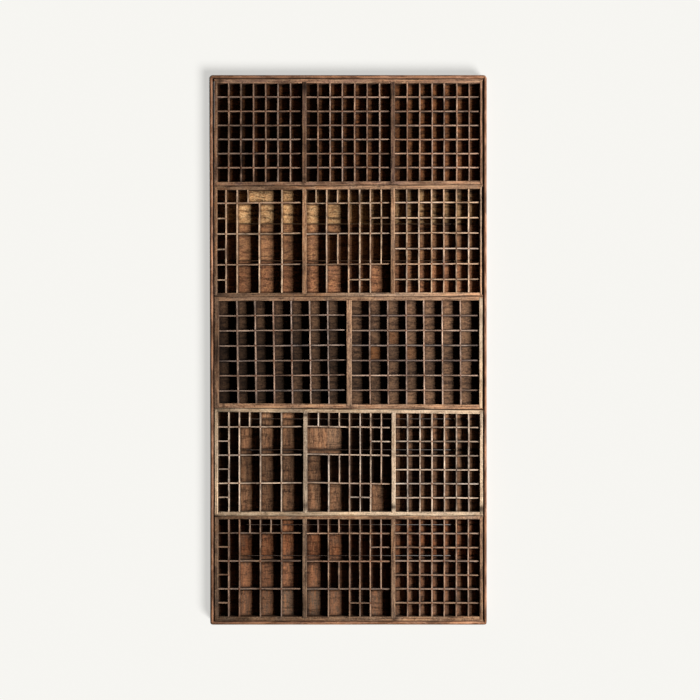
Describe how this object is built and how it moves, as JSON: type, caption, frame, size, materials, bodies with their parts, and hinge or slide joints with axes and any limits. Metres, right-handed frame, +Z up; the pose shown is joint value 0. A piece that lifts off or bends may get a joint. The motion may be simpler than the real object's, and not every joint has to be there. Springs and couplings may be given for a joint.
{
  "type": "type case stack in a wall frame",
  "caption": "Stack of shallow wooden type cases with half-lapped divider grids, held one above another in a thin mitred wall frame; each case pulls out to the front.",
  "frame": {"origin": "middle of the back of the frame, on the wall plane", "axes": "+Z up, -Y out of the wall towards the viewer, +X to the viewer's right"},
  "size_m": [0.958, 0.0513, 1.904],
  "materials": {
    "frame_wood": "dark reddish brown, waxed and rubbed",
    "upright_wood": "sawn softwood, unfinished",
    "case_1_wood": "old oiled wood, dark with handling",
    "case_2_wood": "old oiled wood, worn edges",
    "case_3_wood": "old dry wood, worn edges",
    "case_4_wood": "old dry pale wood, worn edges",
    "case_5_wood": "old oiled wood, ink stained"
  },
  "bodies": {
    "frame": {"frame_top_board": "frame_wood", "frame_bottom_board": "frame_wood", "frame_left_board": "frame_wood", "frame_right_board": "frame_wood", "back_upright_left": "upright_wood", "back_upright_right": "upright_wood"},
    "case_1": {"case_1_top_rail": "case_1_wood", "case_1_bottom_rail": "case_1_wood", "case_1_left_rail": "case_1_wood", "case_1_right_rail": "case_1_wood", "case_1_left_partition": "case_1_wood", "case_1_right_partition": "case_1_wood", "case_1_left_dividers": "case_1_wood", "case_1_middle_dividers": "case_1_wood", "case_1_right_dividers": "case_1_wood", "case_1_floor": "case_1_wood"},
    "case_2": {"case_2_top_rail": "case_2_wood", "case_2_bottom_rail": "case_2_wood", "case_2_left_rail": "case_2_wood", "case_2_right_rail": "case_2_wood", "case_2_left_partition": "case_2_wood", "case_2_right_partition": "case_2_wood", "case_2_left_dividers": "case_2_wood", "case_2_middle_dividers": "case_2_wood", "case_2_right_dividers": "case_2_wood", "case_2_top_floor_board": "case_2_wood", "case_2_middle_floor_board": "case_2_wood", "case_2_bottom_floor_board": "case_2_wood"},
    "case_3": {"case_3_top_rail": "case_3_wood", "case_3_bottom_rail": "case_3_wood", "case_3_left_rail": "case_3_wood", "case_3_right_rail": "case_3_wood", "case_3_middle_partition": "case_3_wood", "case_3_left_dividers": "case_3_wood", "case_3_right_dividers": "case_3_wood", "case_3_floor": "case_3_wood"},
    "case_4": {"case_4_top_rail": "case_4_wood", "case_4_bottom_rail": "case_4_wood", "case_4_left_rail": "case_4_wood", "case_4_right_rail": "case_4_wood", "case_4_left_partition": "case_4_wood", "case_4_right_partition": "case_4_wood", "case_4_left_dividers": "case_4_wood", "case_4_middle_dividers": "case_4_wood", "case_4_right_dividers": "case_4_wood", "case_4_top_floor_board": "case_4_wood", "case_4_middle_floor_board": "case_4_wood", "case_4_bottom_floor_board": "case_4_wood"},
    "case_5": {"case_5_top_rail": "case_5_wood", "case_5_bottom_rail": "case_5_wood", "case_5_left_rail": "case_5_wood", "case_5_right_rail": "case_5_wood", "case_5_left_partition": "case_5_wood", "case_5_right_partition": "case_5_wood", "case_5_left_dividers": "case_5_wood", "case_5_middle_dividers": "case_5_wood", "case_5_right_dividers": "case_5_wood", "case_5_top_floor_board": "case_5_wood", "case_5_middle_floor_board": "case_5_wood", "case_5_bottom_floor_board": "case_5_wood"}
  },
  "joints": [
    {"name": "case_1_slide", "type": "slide", "parent": "frame", "child": "case_1", "axis": [0, -1, 0], "range_m": [0, 0.06]},
    {"name": "case_2_slide", "type": "slide", "parent": "frame", "child": "case_2", "axis": [0, -1, 0], "range_m": [0, 0.06]},
    {"name": "case_3_slide", "type": "slide", "parent": "frame", "child": "case_3", "axis": [0, -1, 0], "range_m": [0, 0.06]},
    {"name": "case_4_slide", "type": "slide", "parent": "frame", "child": "case_4", "axis": [0, -1, 0], "range_m": [0, 0.06]},
    {"name": "case_5_slide", "type": "slide", "parent": "frame", "child": "case_5", "axis": [0, -1, 0], "range_m": [0, 0.06]}
  ]
}
